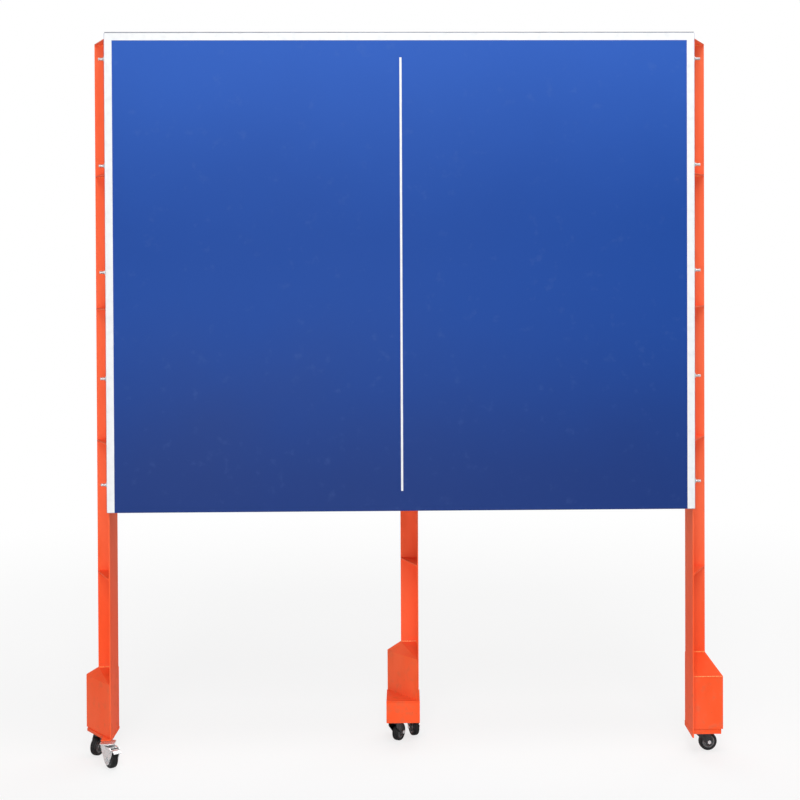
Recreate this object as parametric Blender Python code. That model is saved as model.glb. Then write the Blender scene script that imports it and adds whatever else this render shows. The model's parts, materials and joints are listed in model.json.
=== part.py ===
# A rebound training wall for table tennis: a blue playing board on a steel sub-frame,
# bolted between two orange folded-steel posts, with a third post behind, on small casters.
# Metres, +Z up, +Y away from the player, origin at the bottom centre of the whole object.

import math

import bmesh
import bpy
from mathutils import Matrix

GAP = 0.0003

# The playing board
BOARD_WIDTH = 1.525
BOARD_HEIGHT = 1.238
BOARD_THICKNESS = 0.022
BOARD_BOTTOM = 0.657
BOARD_EDGE_ROUND = 0.0015

# The posts are L sections folded from sheet
SHEET = 0.003
POST_DEPTH = 0.110
POST_WING = 0.050
CENTRE_WING = 0.045
CENTRE_FLANGE_X = 0.039
RIB_COUNT = 5
RIB_NOSE = 0.003
RIB_SET_IN = 0.0006
TOP_RIB_BELOW_BOARD_TOP = 0.015
BOTTOM_RIB_Z = 0.480

# The sub-frame behind the board and the two rails that carry the centre post
TUBE_WIDTH = 0.030
TUBE_DEPTH = 0.040
TUBE_WALL = 0.002
RAIL_HEIGHT = 0.050
RAIL_DEPTH = 0.030
UPPER_RAIL_BELOW_TOP = 0.195
LOWER_RAIL_ABOVE_BOTTOM = 0.123
RAIL_SET_IN = 0.004

# Fasteners
SIDE_BOLT_COUNT = 5
SIDE_BOLT_BELOW_TOP = 0.063
SIDE_BOLT_ABOVE_BOTTOM = 0.067
SIDE_BOLT_RADIUS = 0.004
SIDE_BOLT_STANDS_OUT = 0.024
HOLE_CLEARANCE = 0.0004
HEAD_RISE = 0.0035
HEAD_SHOULDER = 0.0020
HEAD_FLARE = 1.5
FLANGE_FLARE = 2.1
NUT_FLARE = 1.85
CUT_PAST = 0.010
WASHER_THICKNESS = 0.0016
NUT_HEIGHT = 0.0065

# The feet
FOOT_REACH = 0.0825
FOOT_SLOPES = {"left": (0.2245, 0.205), "right": (0.250, 0.205), "centre": (0.250, 0.226)}
SQUARE_FACE_SET_BACK = 0.028
TRAY_PLATE = 0.0027
TRAY_SKIRT = 0.014
BRAKED_TRAY_SKIRT = 0.0075
TRAY_INSET = 0.004
TRAY_LAP = 0.001
BRAKED_TRAY_FRONT = -0.008
BRAKED_TRAY_NOSE = 0.022
BRAKED_TRAY_NOSE_BACK = 0.022
BRAKED_TRAY_CORNER = 0.095
BRAKED_POCKET_NOSE = 0.030
BRAKED_POCKET_FRONT = 0.0085
BRAKED_POCKET_STEP = 0.012
BRAKED_POCKET_CORNER = 0.096
BAND_TOP = 0.113
BAND_OVER_CROWN = 0.001
BAND_OVERHANG = 0.002
BAND_MARGIN = 0.0045
BAND_WALL = 0.0025

# The casters
CASTER_HEIGHT = 0.062
CASTER_PLATE = 0.0025
CASTER_PLATE_SIDE = 0.038
CASTER_PLATE_TRIM = 0.005
BRAKE_REACH = 0.04198
RACE_RADIUS = 0.0085
WHEEL_RADIUS = 0.024
WHEEL_HALF_WIDTH = 0.009
HUB_RADIUS = 0.0165
TRAIL = 0.018
FORK_SHEET = 0.0025
FORK_CLEARANCE = 0.0015
CROWN_TOP = 0.056
CROWN_RADIUS = 0.0165
KINGPIN_RADIUS = 0.0045
AXLE_RADIUS = 0.003
PEDAL_PIVOT_OUT = 0.037
PEDAL_PIVOT_Z = 0.0475
PEDAL_PIN_RADIUS = 0.0018
PEDAL_BOSS_RADIUS = 0.0038
PEDAL_SIDE_GAP = 0.0006
PEDAL_LEVER = [(0.011, 0.0005), (0.0175, -0.0030), (0.0185, -0.0010), (0.0115, 0.0035), (-0.002, 0.0046)]
PIN_HEAD = 0.0015
CROWN_SKIRT = 0.010
CHEEK_ROUND = 0.008
BRAKED_CHEEK_ROUND = 0.015
CHEEK_ARC = (215, 140)
CHEEK_STEPS = 6
TAIL_REACH = 0.007
TAIL_DROP = 0.012
EAR_REACH = 0.006
EAR_DROP = 0.005
EAR_SLOPE = 0.003
EAR_SET_BACK = 0.004
MOUTH_MARGIN = 0.002
KINGPIN_HEAD = 0.0018
KINGPIN_HEAD_FLARE = 1.6
AXLE_NUT = 0.0035
AXLE_NUT_FLARE = 1.7
HUB_BOSS_RADIUS = 0.0065
HUB_WEB_RADIUS = 0.0080
HUB_RIM_RADIUS = 0.0135
HUB_WEB_SHARE = 0.45
HUB_RIM_SHARE = 0.80
TREAD_SHOULDER = 0.0040
TREAD_EDGE = 0.0012
TREAD_EDGE_SHARE = 0.75
TREAD_FLAT_SHARE = 0.35

# What follows from the sizes above
FLANGE_X = BOARD_WIDTH / 2
RAIL_FRONT = BOARD_THICKNESS + GAP + POST_DEPTH + GAP
CENTRE_POST_FRONT = RAIL_FRONT + RAIL_DEPTH + GAP
CENTRE_BAND_BACK = CENTRE_POST_FRONT + POST_DEPTH + SHEET + 2 * GAP + BAND_WALL
FACE_Y = (BRAKE_REACH - CENTRE_BAND_BACK) / 2
POST_FRONT_Y = FACE_Y + BOARD_THICKNESS + GAP
CENTRE_FRONT_Y = FACE_Y + CENTRE_POST_FRONT
TRAY_TOP = CASTER_HEIGHT + GAP + TRAY_PLATE
POST_BOTTOM = TRAY_TOP + GAP
BOARD_TOP = BOARD_BOTTOM + BOARD_HEIGHT
TOP_RIB_Z = BOARD_TOP - TOP_RIB_BELOW_BOARD_TOP
RIB_PITCH = (TOP_RIB_Z - BOTTOM_RIB_Z) / (RIB_COUNT - 1)
POST_TOP = TOP_RIB_Z + SHEET + RIB_SET_IN
UPPER_RAIL_Z = BOARD_TOP - UPPER_RAIL_BELOW_TOP
LOWER_RAIL_Z = BOARD_BOTTOM + LOWER_RAIL_ABOVE_BOTTOM
RIB_HEIGHTS = [TOP_RIB_Z - RIB_PITCH * index for index in range(RIB_COUNT)]
SIDE_BOLT_TOP_Z = BOARD_TOP - SIDE_BOLT_BELOW_TOP
SIDE_BOLT_PITCH = (BOARD_HEIGHT - SIDE_BOLT_BELOW_TOP - SIDE_BOLT_ABOVE_BOTTOM) / (SIDE_BOLT_COUNT - 1)
SIDE_BOLT_HEIGHTS = [SIDE_BOLT_TOP_Z - SIDE_BOLT_PITCH * index for index in range(SIDE_BOLT_COUNT)]
AXLE_HALF_LENGTH = WHEEL_HALF_WIDTH + FORK_CLEARANCE + FORK_SHEET + AXLE_NUT

for leftover in list(bpy.data.objects):
    bpy.data.objects.remove(leftover)


# Materials
def material(name, colour, roughness, metallic=0.0):
    made = bpy.data.materials.new(name)
    made.use_nodes = True
    shader = made.node_tree.nodes["Principled BSDF"]
    shader.inputs["Base Color"].default_value = (*colour, 1.0)
    shader.inputs["Roughness"].default_value = roughness
    shader.inputs["Metallic"].default_value = metallic
    return made


BLUE_BOARD = material("blue_board", (0.018, 0.080, 0.352), 0.45)
ORANGE_PAINT = material("orange_paint", (0.900, 0.080, 0.010), 0.40)
DARK_TUBE = material("dark_tube", (0.040, 0.042, 0.045), 0.50)
ZINC = material("zinc", (0.620, 0.630, 0.640), 0.32, 0.9)
BLACK_RUBBER = material("black_rubber", (0.018, 0.018, 0.018), 0.60)
GREY_HUB = material("grey_hub", (0.220, 0.220, 0.220), 0.45)


# Shapes, each a bmesh that one object or one group is made from
def prism(outline, low, high):
    """A flat outline of (x, y) points, counter-clockwise, raised from low to high in Z."""
    shape = bmesh.new()
    face = shape.faces.new([shape.verts.new((x, y, low)) for x, y in outline])
    raised = bmesh.ops.extrude_face_region(shape, geom=[face])
    top = [item for item in raised["geom"] if isinstance(item, bmesh.types.BMVert)]
    bmesh.ops.translate(shape, verts=top, vec=(0, 0, high - low))
    bmesh.ops.recalc_face_normals(shape, faces=shape.faces)
    return shape


def block(x_span, y_span, z_span):
    (left, right), (front, back) = sorted(x_span), sorted(y_span)
    outline = [(left, front), (right, front), (right, back), (left, back)]
    return prism(outline, *sorted(z_span))


def hull(points):
    shape = bmesh.new()
    for point in points:
        shape.verts.new(point)
    found = bmesh.ops.convex_hull(shape, input=shape.verts)
    inside = {item for item in found["geom_interior"] if isinstance(item, bmesh.types.BMVert)}
    bmesh.ops.delete(shape, geom=list(inside), context="VERTS")
    bmesh.ops.recalc_face_normals(shape, faces=shape.faces)
    return shape


def turned(profile, steps):
    """A closed loop of (radius, height) points spun about Z."""
    shape = bmesh.new()
    points = [shape.verts.new((radius, 0, height)) for radius, height in profile]
    edges = [shape.edges.new((points[i], points[(i + 1) % len(points)])) for i in range(len(points))]
    bmesh.ops.spin(
        shape, geom=points + edges, cent=(0, 0, 0), axis=(0, 0, 1), dvec=(0, 0, 0),
        angle=math.tau, steps=steps, use_merge=True, use_duplicate=False,
    )
    bmesh.ops.remove_doubles(shape, verts=shape.verts, dist=1e-6)
    bmesh.ops.recalc_face_normals(shape, faces=shape.faces)
    return shape


def rod(radius, low, high, sides=16):
    shape = bmesh.new()
    bmesh.ops.create_cone(
        shape, cap_ends=True, segments=sides, radius1=radius, radius2=radius, depth=high - low,
        matrix=Matrix.Translation((0, 0, (low + high) / 2)),
    )
    return shape


def stepped_rod(stages):
    """A rod of several radii on one axis, as (radius, low, high, sides) from the bottom up."""
    shape = bmesh.new()
    lower = None
    for radius, low, high, sides in stages:
        rings = []
        for height in (low, high):
            turns = [math.tau * (index + 0.5) / sides for index in range(sides)]
            ring = [shape.verts.new((radius * math.cos(a), radius * math.sin(a), height)) for a in turns]
            rings.append(ring)
        for index in range(sides):
            after = (index + 1) % sides
            shape.faces.new((rings[0][index], rings[0][after], rings[1][after], rings[1][index]))
        if lower is None:
            shape.faces.new(list(reversed(rings[0])))
        else:
            ring_edges = [shape.edges.get((loop[i], loop[(i + 1) % len(loop)]))
                          for loop in (lower, rings[0]) for i in range(len(loop))]
            bmesh.ops.bridge_loops(shape, edges=ring_edges)
        lower = rings[1]
    shape.faces.new(lower)
    bmesh.ops.recalc_face_normals(shape, faces=shape.faces)
    return shape


def moved(shape, matrix):
    bmesh.ops.transform(shape, matrix=matrix, verts=shape.verts)
    return shape


def mirrored(shape):
    bmesh.ops.scale(shape, vec=(-1, 1, 1), verts=shape.verts)
    bmesh.ops.reverse_faces(shape, faces=shape.faces)
    return shape


def group(shapes):
    """Several separate solids as one bmesh."""
    together = bmesh.new()
    for shape in shapes:
        held = bpy.data.meshes.new("held")
        shape.to_mesh(held)
        shape.free()
        together.from_mesh(held)
        bpy.data.meshes.remove(held)
    return together


def add(name, shape, finish, parent=None, smooth=False):
    mesh = bpy.data.meshes.new(name)
    shape.to_mesh(mesh)
    shape.free()
    mesh.materials.append(finish)
    if smooth:
        mesh.shade_smooth()
        mesh.set_sharp_from_angle(angle=math.radians(35))
    made = bpy.data.objects.new(name, mesh)
    bpy.context.scene.collection.objects.link(made)
    if parent:
        made.parent = parent
    return made


def combine(body, shape, operation):
    """Cuts a shape out of an object or joins it on, through a hidden helper with the same parent."""
    helper = add(body.name + "_helper", shape, ORANGE_PAINT, body.parent)
    helper.hide_render = True
    helper.display_type = "WIRE"
    step = body.modifiers.new(operation.lower(), "BOOLEAN")
    step.operation = operation
    step.solver = "EXACT"
    step.object = helper
    return body


def cut(body, shape):
    return combine(body, shape, "DIFFERENCE")


def weld(body, shape):
    return combine(body, shape, "UNION")


def bevel(body, width, segments=1):
    rounded = body.modifiers.new("round", "BEVEL")
    rounded.width = width
    rounded.segments = segments
    rounded.limit_method = "ANGLE"
    return body


ALONG_X = Matrix.Rotation(math.pi / 2, 4, "Y")
ALONG_Y = Matrix.Rotation(-math.pi / 2, 4, "X")


def at(x, y, z):
    return Matrix.Translation((x, y, z))


# Where the side bolts cross the sub-frame
BOLT_Y = POST_FRONT_Y + TUBE_DEPTH / 2
TUBE_BACK_Y = POST_FRONT_Y + TUBE_DEPTH
TUBE_X = FLANGE_X - SHEET - GAP - TUBE_WIDTH / 2
TOP_TUBE_Z = BOARD_TOP - TUBE_WIDTH / 2 - SHEET
BOTTOM_TUBE_Z = BOARD_BOTTOM + TUBE_WIDTH / 2 + SHEET


# The playing board
board = add(
    "playing_board",
    block((-FLANGE_X, FLANGE_X), (FACE_Y, FACE_Y + BOARD_THICKNESS), (BOARD_BOTTOM, BOARD_TOP)),
    BLUE_BOARD,
)
bevel(board, BOARD_EDGE_ROUND)


# Square-cut steel tubes with open ends
def tube(name, x_span, y_span, z_span, long_axis):
    spans = [sorted(x_span), sorted(y_span), sorted(z_span)]
    body = add(name, block(*spans), DARK_TUBE)
    inner = [
        (low - 0.01, high + 0.01) if axis == long_axis else (low + TUBE_WALL, high - TUBE_WALL)
        for axis, (low, high) in enumerate(spans)
    ]
    return cut(body, block(*inner))


TUBE_Y = (POST_FRONT_Y, TUBE_BACK_Y)
UPRIGHT_Z = (BOTTOM_TUBE_Z - TUBE_WIDTH / 2, TOP_TUBE_Z + TUBE_WIDTH / 2)
for side, name in ((-1, "left_frame_tube"), (1, "right_frame_tube")):
    middle = side * TUBE_X
    upright = tube(name, (middle - TUBE_WIDTH / 2, middle + TUBE_WIDTH / 2), TUBE_Y, UPRIGHT_Z, 2)
    cut(upright, group([
        moved(rod(SIDE_BOLT_RADIUS + HOLE_CLEARANCE, -TUBE_WIDTH, TUBE_WIDTH, 12),
              at(middle, BOLT_Y, z) @ ALONG_X) for z in SIDE_BOLT_HEIGHTS
    ]))

CROSS_X = TUBE_X - TUBE_WIDTH / 2 - GAP
for name, middle in (("top_frame_tube", TOP_TUBE_Z), ("bottom_frame_tube", BOTTOM_TUBE_Z)):
    tube(name, (-CROSS_X, CROSS_X), TUBE_Y, (middle - TUBE_WIDTH / 2, middle + TUBE_WIDTH / 2), 0)

CENTRE_Z = (BOTTOM_TUBE_Z + TUBE_WIDTH / 2 + GAP, TOP_TUBE_Z - TUBE_WIDTH / 2 - GAP)
tube("centre_frame_tube", (-TUBE_WIDTH / 2, TUBE_WIDTH / 2), TUBE_Y, CENTRE_Z, 2)

# Two rails across the backs of the side posts, which carry the centre post
RAIL_FRONT_Y = FACE_Y + RAIL_FRONT
RAIL_X = FLANGE_X + POST_WING - RAIL_SET_IN
for name, middle in (("upper_rail", UPPER_RAIL_Z), ("lower_rail", LOWER_RAIL_Z)):
    tube(name, (-RAIL_X, RAIL_X), (RAIL_FRONT_Y, RAIL_FRONT_Y + RAIL_DEPTH),
         (middle - RAIL_HEIGHT / 2, middle + RAIL_HEIGHT / 2), 0)


# The L posts. Their outline is drawn for a post whose wing points to +X
def post_outline(flange_x, front_y, wing):
    back_y = front_y + POST_DEPTH
    return [
        (flange_x - SHEET, front_y), (flange_x, front_y), (flange_x, back_y - SHEET),
        (flange_x + wing, back_y - SHEET), (flange_x + wing, back_y), (flange_x - SHEET, back_y),
    ]


def rib_outline(flange_x, front_y, wing):
    """A gusset that closes the L, its edges let into both flanges for the weld."""
    back_y = front_y + POST_DEPTH - SHEET / 2
    start_x = flange_x - SHEET / 2
    near_y = front_y + RIB_SET_IN
    far_x = flange_x + wing - RIB_SET_IN
    return [
        (start_x, near_y), (flange_x + RIB_NOSE, near_y), (far_x, back_y - RIB_NOSE), (far_x, back_y),
        (start_x, back_y),
    ]


def turned_way(shape, wing_side):
    return shape if wing_side > 0 else mirrored(shape)


def post(name, flange_x, front_y, wing, wing_side):
    """One post with its welded ribs. flange_x is the flange's outer face on the wing's side."""
    flange_x = flange_x * wing_side
    body = add(name, turned_way(prism(post_outline(flange_x, front_y, wing), POST_BOTTOM, POST_TOP),
                                wing_side), ORANGE_PAINT)
    for z in RIB_HEIGHTS:
        weld(body, turned_way(prism(rib_outline(flange_x, front_y, wing), z, z + SHEET), wing_side))
    return body


for side, name in ((-1, "left_post"), (1, "right_post")):
    cut(post(name, side * FLANGE_X, POST_FRONT_Y, POST_WING, side), group([
        moved(rod(SIDE_BOLT_RADIUS + HOLE_CLEARANCE, -CUT_PAST, CUT_PAST, 12),
              at(side * FLANGE_X, BOLT_Y, z) @ ALONG_X) for z in SIDE_BOLT_HEIGHTS
    ]))

centre_body = post("centre_post", CENTRE_FLANGE_X, CENTRE_FRONT_Y, CENTRE_WING, -1)

# Cleats welded to the centre post's flange and bolted to the rails
CLEAT_SIDE = 0.036
CLEAT_BOLT_RADIUS = 0.004
CLEAT_X = CENTRE_FLANGE_X + SHEET / 2
CLEAT_BOLT_X = CLEAT_X + CLEAT_SIDE * 0.6
CLEAT_BOLT_HEAD = 0.0050
CLEAT_BOLT_END = 0.003
for name, z in (("upper_rail", UPPER_RAIL_Z), ("lower_rail", LOWER_RAIL_Z)):
    weld(centre_body, block((CLEAT_X, CLEAT_X + CLEAT_SIDE),
                            (CENTRE_FRONT_Y + RIB_SET_IN, CENTRE_FRONT_Y + SHEET + RIB_SET_IN),
                            (z - CLEAT_SIDE / 2, z + CLEAT_SIDE / 2)))
    place = at(CLEAT_BOLT_X, CENTRE_FRONT_Y, z) @ ALONG_Y
    for body in (centre_body, bpy.data.objects[name]):
        cut(body, moved(rod(CLEAT_BOLT_RADIUS + HOLE_CLEARANCE, -CUT_PAST, CUT_PAST, 12), place))
    seat = RIB_SET_IN + SHEET + GAP
    bolt = stepped_rod([
        (CLEAT_BOLT_RADIUS * NUT_FLARE, -GAP - TUBE_WALL - CLEAT_BOLT_HEAD, -GAP - TUBE_WALL - GAP, 6),
        (CLEAT_BOLT_RADIUS, -GAP - TUBE_WALL - GAP, seat, 12),
        (CLEAT_BOLT_RADIUS * NUT_FLARE, seat, seat + NUT_HEIGHT, 6),
        (CLEAT_BOLT_RADIUS, seat + NUT_HEIGHT, seat + NUT_HEIGHT + CLEAT_BOLT_END, 12),
    ])
    add(name + "_bolt", moved(bolt, place), ZINC)

# Side bolts: a domed head inside the sub-frame, washer, nut and standing thread outside the post
BOLT_HEAD_X = TUBE_X - TUBE_WIDTH / 2
NUT_SEAT = FLANGE_X + GAP + WASHER_THICKNESS - BOLT_HEAD_X


def side_bolt(side, z):
    placed = moved(stepped_rod([
        (SIDE_BOLT_RADIUS * HEAD_FLARE, -HEAD_RISE, -HEAD_SHOULDER, 12),
        (SIDE_BOLT_RADIUS * FLANGE_FLARE, -HEAD_SHOULDER, -GAP, 12),
        (SIDE_BOLT_RADIUS, -GAP, NUT_SEAT - WASHER_THICKNESS, 12),
        (SIDE_BOLT_RADIUS * FLANGE_FLARE, NUT_SEAT - WASHER_THICKNESS, NUT_SEAT, 12),
        (SIDE_BOLT_RADIUS * NUT_FLARE, NUT_SEAT, NUT_SEAT + NUT_HEIGHT, 6),
        (SIDE_BOLT_RADIUS, NUT_SEAT + NUT_HEIGHT, FLANGE_X + SIDE_BOLT_STANDS_OUT - BOLT_HEAD_X, 12),
    ]), at(BOLT_HEAD_X, BOLT_Y, z) @ ALONG_X)
    return placed if side > 0 else mirrored(placed)


for side, name in ((-1, "left"), (1, "right")):
    for number, z in enumerate(SIDE_BOLT_HEIGHTS, 1):
        add(f"{name}_side_bolt_{number}", side_bolt(side, z), ZINC)


# A foot is drawn by its reach, out from the flange, and its run, back from the post's front edge
COVER_REACH = (GAP, FOOT_REACH)
COVER_BACK = POST_DEPTH - SHEET - GAP


def cover_points(name, kind, wing, bottom, shrink=0.0):
    """Corners of the foot's cover; shrink gives the hollow, open to the post and below."""
    near = COVER_REACH[0] if not shrink else -CUT_PAST
    back = COVER_BACK if not shrink else COVER_BACK + CUT_PAST
    far = COVER_REACH[1] - shrink
    low = bottom if not shrink else bottom - CUT_PAST
    crest, eave = (height - shrink for height in FOOT_SLOPES[name])
    if kind == "square":
        front = SQUARE_FACE_SET_BACK + shrink
        plan = [(near, front), (far, front), (far, back), (near, back)]
        upper = [(near, back, crest), (wing - shrink, back, crest)]
    else:
        skew = shrink * math.hypot(1, COVER_BACK / FOOT_REACH)
        slope = COVER_BACK / FOOT_REACH
        plan = [(near, skew + slope * near), (far, skew + slope * far), (far, back), (near, back)]
        upper = [(near, back, crest), (wing - shrink, back, crest)]
    return [(u, v, z) for u, v in plan for z in (low, eave)] + upper


def foot_to_world(shape, flange_x, front_y, wing_side):
    for vert in shape.verts:
        vert.co = (flange_x + vert.co.x, front_y + vert.co.y, vert.co.z)
    return shape if wing_side > 0 else mirrored(shape)


def foot(name, kind, flange_x, front_y, wing, wing_side, bottom):
    """The welded cover and the plate that closes its back."""
    flange_x = flange_x * wing_side

    def placed(shape):
        return foot_to_world(shape, flange_x, front_y, wing_side)

    cover = add(name + "_foot_cover", placed(hull(cover_points(name, kind, wing, bottom))), ORANGE_PAINT)
    cut(cover, placed(hull(cover_points(name, kind, wing, bottom, SHEET))))
    back = POST_DEPTH + GAP
    crest, eave = FOOT_SLOPES[name]
    outline = [(-SHEET, bottom), (FOOT_REACH, bottom), (FOOT_REACH, eave), (wing, crest), (-SHEET, crest)]
    plate = moved(prism(outline, -back - SHEET, -back), Matrix.Rotation(math.pi / 2, 4, "X"))
    bmesh.ops.recalc_face_normals(plate, faces=plate.faces)
    add(name + "_foot_back", placed(plate), ORANGE_PAINT)


foot("left", "diagonal", -FLANGE_X, POST_FRONT_Y, POST_WING, -1, POST_BOTTOM)
foot("right", "square", FLANGE_X, POST_FRONT_Y, POST_WING, 1, POST_BOTTOM)
foot("centre", "diagonal", CENTRE_FLANGE_X, CENTRE_FRONT_Y, CENTRE_WING, -1, BAND_TOP + GAP)

# Trays under the posts, which the casters bolt to
FOOT_BACK = POST_DEPTH + GAP + SHEET


def tray(name, outline, pocket, flange_x, front_y, wing_side, skirt_bottom):
    flange_x = flange_x * wing_side
    body = add(name, foot_to_world(prism(outline, skirt_bottom, TRAY_TOP), flange_x, front_y, wing_side),
               ORANGE_PAINT)
    pocket_shape = prism(pocket, skirt_bottom - CUT_PAST, TRAY_TOP - TRAY_PLATE)
    return cut(body, foot_to_world(pocket_shape, flange_x, front_y, wing_side))


# The left skirt stays above the braked fork's tall cheeks, which swing under it
SKIRT_BOTTOM = TRAY_TOP - TRAY_SKIRT
NEAR = -SHEET - TRAY_LAP
FAR = FOOT_REACH - TRAY_INSET
left_tray = tray(
    "left_foot_tray",
    [(NEAR, BRAKED_TRAY_FRONT), (BRAKED_TRAY_NOSE, BRAKED_TRAY_FRONT),
     (BRAKED_TRAY_NOSE, BRAKED_TRAY_NOSE_BACK), (FAR, BRAKED_TRAY_CORNER), (FAR, FOOT_BACK),
     (NEAR, FOOT_BACK)],
    [(-BRAKED_POCKET_NOSE, -BRAKED_POCKET_NOSE), (BRAKED_POCKET_NOSE, -BRAKED_POCKET_NOSE),
     (BRAKED_POCKET_NOSE, BRAKED_POCKET_FRONT), (BRAKED_TRAY_NOSE - SHEET, BRAKED_POCKET_FRONT),
     (BRAKED_TRAY_NOSE - SHEET, BRAKED_TRAY_NOSE_BACK), (FAR - SHEET, BRAKED_POCKET_CORNER),
     (FAR - SHEET, FOOT_BACK - SHEET), (NEAR + SHEET, FOOT_BACK - SHEET),
     (NEAR + SHEET, BRAKED_POCKET_STEP), (-BRAKED_POCKET_NOSE, BRAKED_POCKET_STEP)],
    -FLANGE_X, POST_FRONT_Y, -1, TRAY_TOP - BRAKED_TRAY_SKIRT,
)
SQUARE_FRONT = SQUARE_FACE_SET_BACK + TRAY_INSET
right_tray = tray(
    "right_foot_tray",
    [(NEAR, 0), (0, 0), (GAP, SQUARE_FRONT), (FAR, SQUARE_FRONT), (FAR, FOOT_BACK), (NEAR, FOOT_BACK)],
    [(NEAR + SHEET, SQUARE_FRONT + SHEET), (FAR - SHEET, SQUARE_FRONT + SHEET),
     (FAR - SHEET, FOOT_BACK - SHEET), (NEAR + SHEET, FOOT_BACK - SHEET)],
    FLANGE_X, POST_FRONT_Y, 1, SKIRT_BOTTOM,
)

# The centre foot has a deep band round it in place of a shallow skirt
BAND_U = (-SHEET - GAP - BAND_WALL, FOOT_REACH + BAND_OVERHANG)
BAND_V = (-BAND_MARGIN - BAND_WALL, FOOT_BACK + GAP + BAND_WALL)
BAND_BOTTOM = CROWN_TOP + BAND_OVER_CROWN


def rectangle(u_span, v_span):
    return [(u_span[0], v_span[0]), (u_span[1], v_span[0]), (u_span[1], v_span[1]), (u_span[0], v_span[1])]


INNER_U = (BAND_U[0] + BAND_WALL, BAND_U[1] - BAND_WALL)
INNER_V = (BAND_V[0] + BAND_WALL, BAND_V[1] - BAND_WALL)
band = add("centre_foot_band", foot_to_world(
    prism(rectangle(BAND_U, BAND_V), BAND_BOTTOM, BAND_TOP), -CENTRE_FLANGE_X, CENTRE_FRONT_Y, -1),
    ORANGE_PAINT)
for low, high in ((BAND_BOTTOM - CUT_PAST, TRAY_TOP - TRAY_PLATE), (TRAY_TOP, BAND_TOP + CUT_PAST)):
    cut(band, foot_to_world(prism(rectangle(INNER_U, INNER_V), low, high), -CENTRE_FLANGE_X,
                            CENTRE_FRONT_Y, -1))

# The centre cover ends in a flat lid over the band, cut round the post's flange
LID = [(BAND_U[0], BAND_V[0]), (BAND_U[1], BAND_V[0]), (BAND_U[1], COVER_BACK), (COVER_REACH[0], COVER_BACK),
       (COVER_REACH[0], -GAP), (BAND_U[0], -GAP)]
weld(bpy.data.objects["centre_foot_cover"], foot_to_world(
    prism(LID, BAND_TOP + GAP, BAND_TOP + GAP + SHEET), -CENTRE_FLANGE_X, CENTRE_FRONT_Y, -1))


# Casters: name, kingpin reach and run on its foot, which way the wheel trails, and what it bolts to
CASTERS = {
    "left_front": ("left", 0.0020, -0.0140, -53, True),
    "left_rear": ("left", 0.0400, 0.0900, -112, False),
    "right": ("right", 0.0300, 0.0600, 8, False),
    "centre_left": ("centre", 0.0600, 0.0150, 62, False),
    "centre_right": ("centre", 0.0165, 0.0900, -70, False),
}
FEET = {
    "left": (-FLANGE_X, POST_FRONT_Y, -1, left_tray),
    "right": (FLANGE_X, POST_FRONT_Y, 1, right_tray),
    "centre": (CENTRE_FLANGE_X, CENTRE_FRONT_Y, -1, band),
}


def empty(name, matrix, parent=None):
    made = bpy.data.objects.new(name, None)
    bpy.context.scene.collection.objects.link(made)
    made.parent = parent
    made.matrix_local = matrix
    return made


def fork(braked):
    """A bent cheek plate each side of the wheel and a crown, trailing to +X from the kingpin at Z."""
    half = WHEEL_HALF_WIDTH + FORK_CLEARANCE + FORK_SHEET
    cheek = [(-CROWN_RADIUS, CROWN_TOP)]
    cheek += [(-CROWN_RADIUS, CROWN_TOP - CROWN_SKIRT)]
    first, swept = CHEEK_ARC
    lobe = BRAKED_CHEEK_ROUND if braked else CHEEK_ROUND
    for step in range(CHEEK_STEPS + 1):
        turn = math.radians(first + swept * step / CHEEK_STEPS)
        cheek.append((TRAIL + lobe * math.cos(turn), WHEEL_RADIUS + lobe * math.sin(turn)))
    if braked:
        ear = PEDAL_PIVOT_OUT + EAR_REACH
        cheek += [(ear, PEDAL_PIVOT_Z - EAR_DROP), (ear, CROWN_TOP - EAR_SLOPE),
                  (PEDAL_PIVOT_OUT - EAR_SET_BACK, CROWN_TOP)]
    else:
        cheek += [(CROWN_RADIUS + TAIL_REACH, CROWN_TOP - TAIL_DROP), (CROWN_RADIUS, CROWN_TOP)]
    shape = prism(cheek, -half, half)
    return moved(shape, Matrix.Rotation(math.pi / 2, 4, "X"))


def wheel_space(braked):
    half = WHEEL_HALF_WIDTH + FORK_CLEARANCE
    low, high = 0, CROWN_TOP - FORK_SHEET
    clear = 3 * WHEEL_RADIUS
    if not braked:
        return [block((-clear, clear), (-half, half), (low, high))]
    mouth = PEDAL_PIVOT_OUT - PEDAL_BOSS_RADIUS - MOUTH_MARGIN
    return [block((-clear, mouth), (-half, half), (low, high)),
            block((mouth - GAP, clear), (-half, half), (low, CROWN_TOP + CUT_PAST))]


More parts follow.
